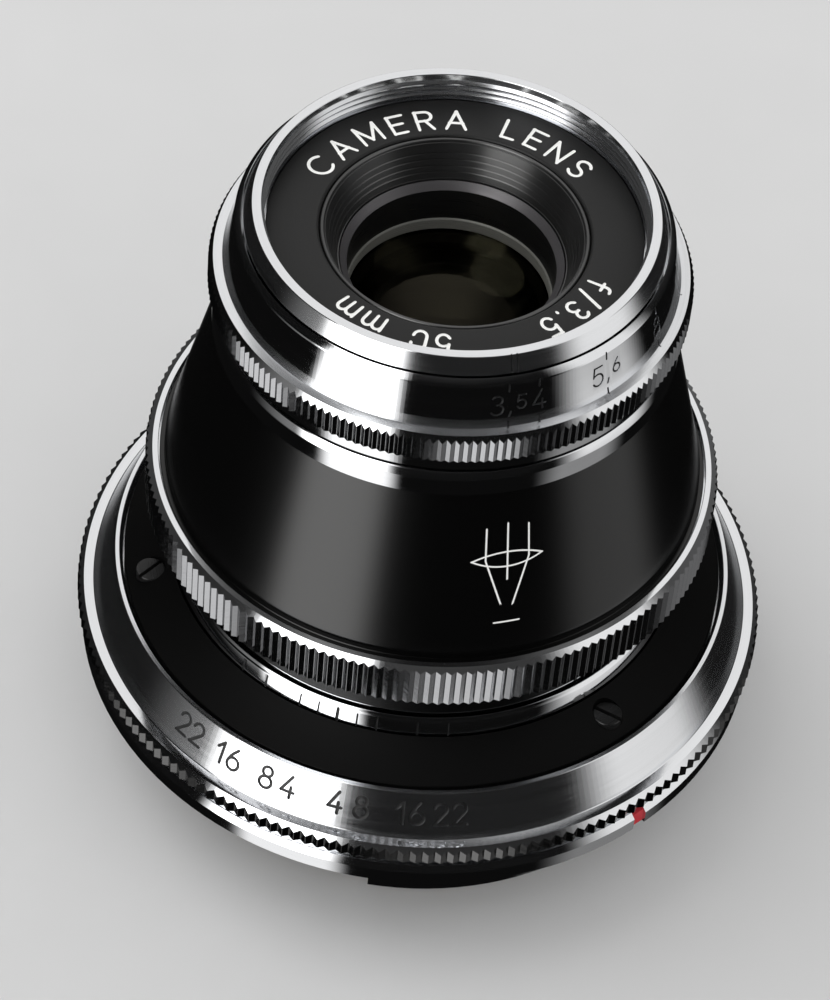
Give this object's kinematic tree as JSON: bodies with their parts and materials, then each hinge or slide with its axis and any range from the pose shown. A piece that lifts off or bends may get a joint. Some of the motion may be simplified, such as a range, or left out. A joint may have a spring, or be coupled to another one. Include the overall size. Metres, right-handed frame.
{
  "type": "camera lens",
  "caption": "Compact manual-focus rangefinder camera lens: black cone on a chrome base, knurled aperture, focus and base rings, leaf iris, bayonet mount.",
  "frame": {"origin": "on the optical axis, in the plane of the mount flange's rear seating face", "axes": "+Z along the optical axis towards the subject; -Y is the side that carries the focus and aperture indexes"},
  "size_m": [0.0518, 0.0518, 0.0509],
  "materials": {
    "chrome": "polished and finely turned chrome plate",
    "black_anodised": "satin black anodised aluminium",
    "dark_internal": "matt blackened metal",
    "brass": "machined brass",
    "screw_steel": "blackened steel screws",
    "coated_glass": "coated optical glass",
    "red_paint": "red enamel"
  },
  "bodies": {
    "base": {"mount_flange": "chrome", "mount_screws": "screw_steel", "mount_index_paint": "red_paint", "base_ring": "chrome", "helicoid_outer": "brass", "index_ring": "chrome", "cover_plate": "black_anodised", "cover_screws": "screw_steel", "guide_key": "brass", "guide_key_screws": "screw_steel"},
    "sleeve": {"cam_sleeve": "brass", "focus_stop_pin": "screw_steel"},
    "head": {"helicoid_inner": "brass", "sleeve_retaining_ring": "brass", "focus_ring": "chrome", "focus_ring_screws": "screw_steel", "barrel_cone": "black_anodised", "upper_collar": "chrome", "click_spring": "screw_steel", "click_ball": "chrome", "head_barrel": "dark_internal", "filter_ring": "chrome", "name_ring": "black_anodised", "front_cell": "black_anodised", "front_retainer": "dark_internal", "middle_retainer": "dark_internal", "front_lens_outer": "coated_glass", "front_lens_inner": "coated_glass", "middle_lens": "coated_glass", "rear_lens_inner": "coated_glass", "rear_lens_outer": "coated_glass", "rear_cell": "dark_internal", "rear_retainer": "dark_internal", "rear_baffle": "dark_internal", "iris_base_plate": "dark_internal", "iris_retaining_ring": "dark_internal"},
    "aperture": {"aperture_ring": "chrome", "aperture_link": "brass", "link_pin": "screw_steel", "iris_cam_ring": "dark_internal"},
    "blade_01": {"iris_blade_01": "dark_internal"},
    "blade_02": {"iris_blade_02": "dark_internal"},
    "blade_03": {"iris_blade_03": "dark_internal"},
    "blade_04": {"iris_blade_04": "dark_internal"},
    "blade_05": {"iris_blade_05": "dark_internal"},
    "blade_06": {"iris_blade_06": "dark_internal"},
    "blade_07": {"iris_blade_07": "dark_internal"},
    "blade_08": {"iris_blade_08": "dark_internal"},
    "blade_09": {"iris_blade_09": "dark_internal"},
    "blade_10": {"iris_blade_10": "dark_internal"}
  },
  "joints": [
    {"name": "focus_travel", "type": "slide", "parent": "base", "child": "sleeve", "axis": [0, 0, 1], "range_m": [0, 0.00383]},
    {"name": "focus_turn", "type": "hinge", "parent": "sleeve", "child": "head", "pos_m": [0, 0, 0.01], "axis": [0, 0, 1], "range_deg": [0, 130]},
    {"name": "aperture_turn", "type": "hinge", "parent": "head", "child": "aperture", "pos_m": [0, 0, 0.036], "axis": [0, 0, 1], "range_deg": [-107, 0]},
    {"name": "blade_01_swing", "type": "hinge", "parent": "head", "child": "blade_01", "pos_m": [0.0103, 0, 0.0268], "axis": [0, 0, 1], "range_deg": [0, 32]},
    {"name": "blade_02_swing", "type": "hinge", "parent": "head", "child": "blade_02", "pos_m": [0.00833, 0.00605, 0.0268], "axis": [0, 0, 1], "range_deg": [0, 32]},
    {"name": "blade_03_swing", "type": "hinge", "parent": "head", "child": "blade_03", "pos_m": [0.00318, 0.0098, 0.0268], "axis": [0, 0, 1], "range_deg": [0, 32]},
    {"name": "blade_04_swing", "type": "hinge", "parent": "head", "child": "blade_04", "pos_m": [-0.00318, 0.0098, 0.0268], "axis": [0, 0, 1], "range_deg": [0, 32]},
    {"name": "blade_05_swing", "type": "hinge", "parent": "head", "child": "blade_05", "pos_m": [-0.00833, 0.00605, 0.0268], "axis": [0, 0, 1], "range_deg": [0, 32]},
    {"name": "blade_06_swing", "type": "hinge", "parent": "head", "child": "blade_06", "pos_m": [-0.0103, 0, 0.0268], "axis": [0, 0, 1], "range_deg": [0, 32]},
    {"name": "blade_07_swing", "type": "hinge", "parent": "head", "child": "blade_07", "pos_m": [-0.00833, -0.00605, 0.0268], "axis": [0, 0, 1], "range_deg": [0, 32]},
    {"name": "blade_08_swing", "type": "hinge", "parent": "head", "child": "blade_08", "pos_m": [-0.00318, -0.0098, 0.0268], "axis": [0, 0, 1], "range_deg": [0, 32]},
    {"name": "blade_09_swing", "type": "hinge", "parent": "head", "child": "blade_09", "pos_m": [0.00318, -0.0098, 0.0268], "axis": [0, 0, 1], "range_deg": [0, 32]},
    {"name": "blade_10_swing", "type": "hinge", "parent": "head", "child": "blade_10", "pos_m": [0.00833, -0.00605, 0.0268], "axis": [0, 0, 1], "range_deg": [0, 32]}
  ],
  "couplings": [
    {"joint": "focus_turn", "follows": "focus_travel", "rad_per_m": 592.75},
    {"joint": "blade_01_swing", "follows": "aperture_turn", "ratio": -0.29646},
    {"joint": "blade_02_swing", "follows": "aperture_turn", "ratio": -0.29646},
    {"joint": "blade_03_swing", "follows": "aperture_turn", "ratio": -0.29646},
    {"joint": "blade_04_swing", "follows": "aperture_turn", "ratio": -0.29646},
    {"joint": "blade_05_swing", "follows": "aperture_turn", "ratio": -0.29646},
    {"joint": "blade_06_swing", "follows": "aperture_turn", "ratio": -0.29646},
    {"joint": "blade_07_swing", "follows": "aperture_turn", "ratio": -0.29646},
    {"joint": "blade_08_swing", "follows": "aperture_turn", "ratio": -0.29646},
    {"joint": "blade_09_swing", "follows": "aperture_turn", "ratio": -0.29646},
    {"joint": "blade_10_swing", "follows": "aperture_turn", "ratio": -0.29646}
  ]
}
